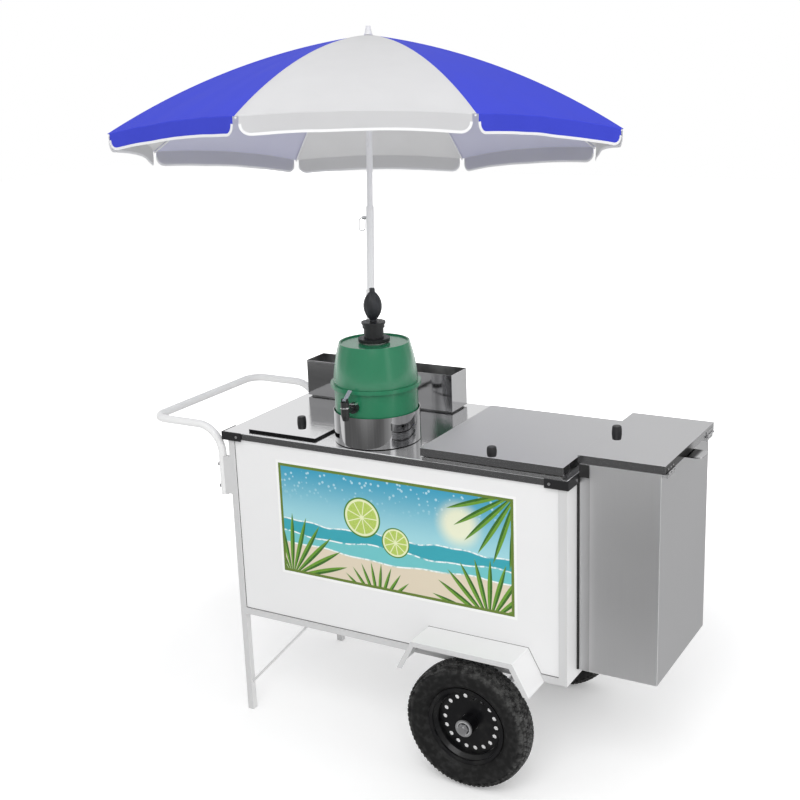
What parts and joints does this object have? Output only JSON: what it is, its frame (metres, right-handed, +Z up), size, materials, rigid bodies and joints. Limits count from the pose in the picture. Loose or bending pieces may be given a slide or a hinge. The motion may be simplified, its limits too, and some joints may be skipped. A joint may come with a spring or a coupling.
{
  "type": "coconut water cart",
  "caption": "Push cart for chilled drinks: sheet-clad tube frame on wheels and legs, ice box, keg with tap, straw tray, end bin, push handle and a folding leaning umbrella.",
  "frame": {"origin": "on the ground, under the middle of the whole outline, umbrella open", "axes": "+Z up, +X from the push handle towards the bin, +Y from the print side to the back"},
  "size_m": [1.9274, 1.5654, 2.0924],
  "materials": {
    "white_paint": "gloss",
    "stainless": "satin",
    "polished_steel": "polished",
    "axle_steel": "turned",
    "zinc": "plated",
    "black_rim": "gloss",
    "tyre": "knobbly",
    "black_plastic": "moulded",
    "green_plastic": "gloss",
    "liner_plastic": "satin",
    "clear_plastic": "gloss",
    "black_rubber": "matte",
    "foam": "foam",
    "white_pole": "gloss",
    "umbrella_plastic": "gloss",
    "cloth": "woven"
  },
  "bodies": {
    "cart": {"frame": "white_paint", "front_panel": "white_paint", "back_panel": "white_paint", "end_panels": "white_paint", "floor_panel": "white_paint", "worktop": "stainless", "corner_guards": "black_plastic", "fasteners": "zinc", "ice_tub": "stainless", "tub_insulation": "foam", "straw_tray": "polished_steel", "keg_ring": "polished_steel", "umbrella_socket": "white_pole", "fenders": "white_paint", "axle": "axle_steel", "axle_bearings": "zinc", "handle": "white_paint", "bin_body": "stainless", "bin_brackets": "stainless", "lid_hinges": "stainless"},
    "front_wheel": {"front_tyre": "tyre", "front_rim": "black_rim"},
    "back_wheel": {"back_tyre": "tyre", "back_rim": "black_rim"},
    "hatch": {"hatch_lid": "stainless", "hatch_knob": "black_plastic"},
    "ice_cover": {"ice_lid": "stainless", "ice_lid_foam": "foam", "ice_knob": "black_plastic"},
    "bin_cover": {"bin_lid": "stainless", "bin_knob": "black_plastic"},
    "keg": {"keg_shell": "green_plastic", "keg_liner": "liner_plastic", "tap_body": "black_plastic"},
    "lever": {"tap_lever": "clear_plastic"},
    "plug": {"stopper": "black_plastic", "rubber_bulb": "black_rubber"},
    "mast": {"lower_pole": "white_pole"},
    "ring_pin": {"lock_pin": "zinc"},
    "upper_mast": {"upper_pole": "white_pole", "crown": "umbrella_plastic", "finial": "umbrella_plastic", "canopy": "cloth"},
    "slider": {"runner": "umbrella_plastic"},
    "rib_1": {"rib_1": "white_pole"},
    "stretcher_1": {"stretcher_1": "white_pole"},
    "rib_2": {"rib_2": "white_pole"},
    "stretcher_2": {"stretcher_2": "white_pole"},
    "rib_3": {"rib_3": "white_pole"},
    "stretcher_3": {"stretcher_3": "white_pole"},
    "rib_4": {"rib_4": "white_pole"},
    "stretcher_4": {"stretcher_4": "white_pole"},
    "rib_5": {"rib_5": "white_pole"},
    "stretcher_5": {"stretcher_5": "white_pole"},
    "rib_6": {"rib_6": "white_pole"},
    "stretcher_6": {"stretcher_6": "white_pole"},
    "rib_7": {"rib_7": "white_pole"},
    "stretcher_7": {"stretcher_7": "white_pole"},
    "rib_8": {"rib_8": "white_pole"},
    "stretcher_8": {"stretcher_8": "white_pole"}
  },
  "joints": [
    {"name": "front_wheel_spin", "type": "hinge", "parent": "cart", "child": "front_wheel", "pos_m": [0.40672, -0.54197, 0.188], "axis": [0, 1, 0], "continuous": true},
    {"name": "back_wheel_spin", "type": "hinge", "parent": "cart", "child": "back_wheel", "pos_m": [0.40672, 0.11803, 0.188], "axis": [0, 1, 0], "continuous": true},
    {"name": "hatch_swing", "type": "hinge", "parent": "cart", "child": "hatch", "pos_m": [-0.23928, -0.18697, 0.9353], "axis": [-1, 0, 0], "range_deg": [0, 100]},
    {"name": "ice_lid_swing", "type": "hinge", "parent": "cart", "child": "ice_cover", "pos_m": [0.45972, -0.03997, 0.944], "axis": [-1, 0, 0], "range_deg": [0, 100]},
    {"name": "bin_lid_swing", "type": "hinge", "parent": "cart", "child": "bin_cover", "pos_m": [0.92472, -0.21397, 0.9617], "axis": [0, 1, 0], "range_deg": [0, 100]},
    {"name": "keg_lift", "type": "slide", "parent": "cart", "child": "keg", "axis": [0, 0, 1], "range_m": [0, 0.15]},
    {"name": "tap_tip", "type": "hinge", "parent": "keg", "child": "lever", "pos_m": [0.03172, -0.52897, 1.0895], "axis": [1, 0, 0], "range_deg": [0, 60]},
    {"name": "stopper_pull", "type": "slide", "parent": "keg", "child": "plug", "axis": [0, 0, 1], "range_m": [0, 0.06]},
    {"name": "pole_turn", "type": "hinge", "parent": "cart", "child": "mast", "pos_m": [-0.12728, -0.12797, 0.932], "axis": [-0.058, 0.1584, 0.9857], "continuous": true},
    {"name": "pin_pull", "type": "slide", "parent": "mast", "child": "ring_pin", "axis": [-0.8797, -0.4749, 0.0245], "range_m": [0, 0.008]},
    {"name": "pole_height", "type": "slide", "parent": "mast", "child": "upper_mast", "axis": [-0.058, 0.1584, 0.9857], "range_m": [0, 0.15]},
    {"name": "canopy_fold", "type": "slide", "parent": "upper_mast", "child": "slider", "axis": [0.058, -0.1584, -0.9857], "range_m": [0, 0.30918], "deforming": ["canopy"]},
    {"name": "rib_1_fold", "type": "hinge", "parent": "upper_mast", "child": "rib_1", "pos_m": [-0.18207, 0.06648, 2.0541], "axis": [-0.7727, 0.618, -0.1448], "range_deg": [0, 58.05]},
    {"name": "stretcher_1_fold", "type": "hinge", "parent": "slider", "child": "stretcher_1", "pos_m": [-0.17504, 0.0448, 1.92408], "axis": [0.7727, -0.618, 0.1448], "range_deg": [0, 52.41]},
    {"name": "rib_2_fold", "type": "hinge", "parent": "upper_mast", "child": "rib_2", "pos_m": [-0.19523, 0.07028, 2.05272], "axis": [-0.9934, -0.1075, -0.0412], "range_deg": [0, 58.05]},
    {"name": "stretcher_2_fold", "type": "hinge", "parent": "slider", "child": "stretcher_2", "pos_m": [-0.18747, 0.04839, 1.92277], "axis": [0.9934, 0.1075, 0.0412], "range_deg": [0, 52.41]},
    {"name": "rib_3_fold", "type": "hinge", "parent": "upper_mast", "child": "rib_3", "pos_m": [-0.20735, 0.06374, 2.05305], "axis": [-0.6321, -0.77, 0.0865], "range_deg": [0, 58.05]},
    {"name": "stretcher_3_fold", "type": "hinge", "parent": "slider", "child": "stretcher_3", "pos_m": [-0.19892, 0.04221, 1.92309], "axis": [0.6321, 0.77, -0.0865], "range_deg": [0, 52.41]},
    {"name": "rib_4_fold", "type": "hinge", "parent": "upper_mast", "child": "rib_4", "pos_m": [-0.21133, 0.05068, 2.05492], "axis": [0.0994, -0.9815, 0.1636], "range_deg": [0, 58.05]},
    {"name": "stretcher_4_fold", "type": "hinge", "parent": "slider", "child": "stretcher_4", "pos_m": [-0.20267, 0.02988, 1.92485], "axis": [-0.0994, 0.9815, -0.1636], "range_deg": [0, 52.41]},
    {"name": "rib_5_fold", "type": "hinge", "parent": "upper_mast", "child": "rib_5", "pos_m": [-0.20482, 0.03875, 2.05722], "axis": [0.7727, -0.618, 0.1448], "range_deg": [0, 58.05]},
    {"name": "stretcher_5_fold", "type": "hinge", "parent": "slider", "child": "stretcher_5", "pos_m": [-0.19653, 0.01861, 1.92702], "axis": [-0.7727, 0.618, -0.1448], "range_deg": [0, 52.41]},
    {"name": "rib_6_fold", "type": "hinge", "parent": "upper_mast", "child": "rib_6", "pos_m": [-0.19165, 0.03495, 2.0586], "axis": [0.9934, 0.1075, 0.0412], "range_deg": [0, 58.05]},
    {"name": "stretcher_6_fold", "type": "hinge", "parent": "slider", "child": "stretcher_6", "pos_m": [-0.18409, 0.01502, 1.92833], "axis": [-0.9934, -0.1075, -0.0412], "range_deg": [0, 52.41]},
    {"name": "rib_7_fold", "type": "hinge", "parent": "upper_mast", "child": "rib_7", "pos_m": [-0.17954, 0.04149, 2.05827], "axis": [0.6321, 0.77, -0.0865], "range_deg": [0, 58.05]},
    {"name": "stretcher_7_fold", "type": "hinge", "parent": "slider", "child": "stretcher_7", "pos_m": [-0.17265, 0.0212, 1.92801], "axis": [-0.6321, -0.77, 0.0865], "range_deg": [0, 52.41]},
    {"name": "rib_8_fold", "type": "hinge", "parent": "upper_mast", "child": "rib_8", "pos_m": [-0.17556, 0.05455, 2.0564], "axis": [-0.0994, 0.9815, -0.1636], "range_deg": [0, 58.05]},
    {"name": "stretcher_8_fold", "type": "hinge", "parent": "slider", "child": "stretcher_8", "pos_m": [-0.1689, 0.03353, 1.92625], "axis": [0.0994, -0.9815, 0.1636], "range_deg": [0, 52.41]}
  ],
  "couplings": [
    {"joint": "rib_1_fold", "follows": "canopy_fold", "rad_per_m": 3.2741},
    {"joint": "stretcher_1_fold", "follows": "canopy_fold", "rad_per_m": 2.9557},
    {"joint": "rib_2_fold", "follows": "canopy_fold", "rad_per_m": 3.2741},
    {"joint": "stretcher_2_fold", "follows": "canopy_fold", "rad_per_m": 2.9557},
    {"joint": "rib_3_fold", "follows": "canopy_fold", "rad_per_m": 3.2741},
    {"joint": "stretcher_3_fold", "follows": "canopy_fold", "rad_per_m": 2.9557},
    {"joint": "rib_4_fold", "follows": "canopy_fold", "rad_per_m": 3.2741},
    {"joint": "stretcher_4_fold", "follows": "canopy_fold", "rad_per_m": 2.9557},
    {"joint": "rib_5_fold", "follows": "canopy_fold", "rad_per_m": 3.2741},
    {"joint": "stretcher_5_fold", "follows": "canopy_fold", "rad_per_m": 2.9557},
    {"joint": "rib_6_fold", "follows": "canopy_fold", "rad_per_m": 3.2741},
    {"joint": "stretcher_6_fold", "follows": "canopy_fold", "rad_per_m": 2.9557},
    {"joint": "rib_7_fold", "follows": "canopy_fold", "rad_per_m": 3.2741},
    {"joint": "stretcher_7_fold", "follows": "canopy_fold", "rad_per_m": 2.9557},
    {"joint": "rib_8_fold", "follows": "canopy_fold", "rad_per_m": 3.2741},
    {"joint": "stretcher_8_fold", "follows": "canopy_fold", "rad_per_m": 2.9557}
  ]
}
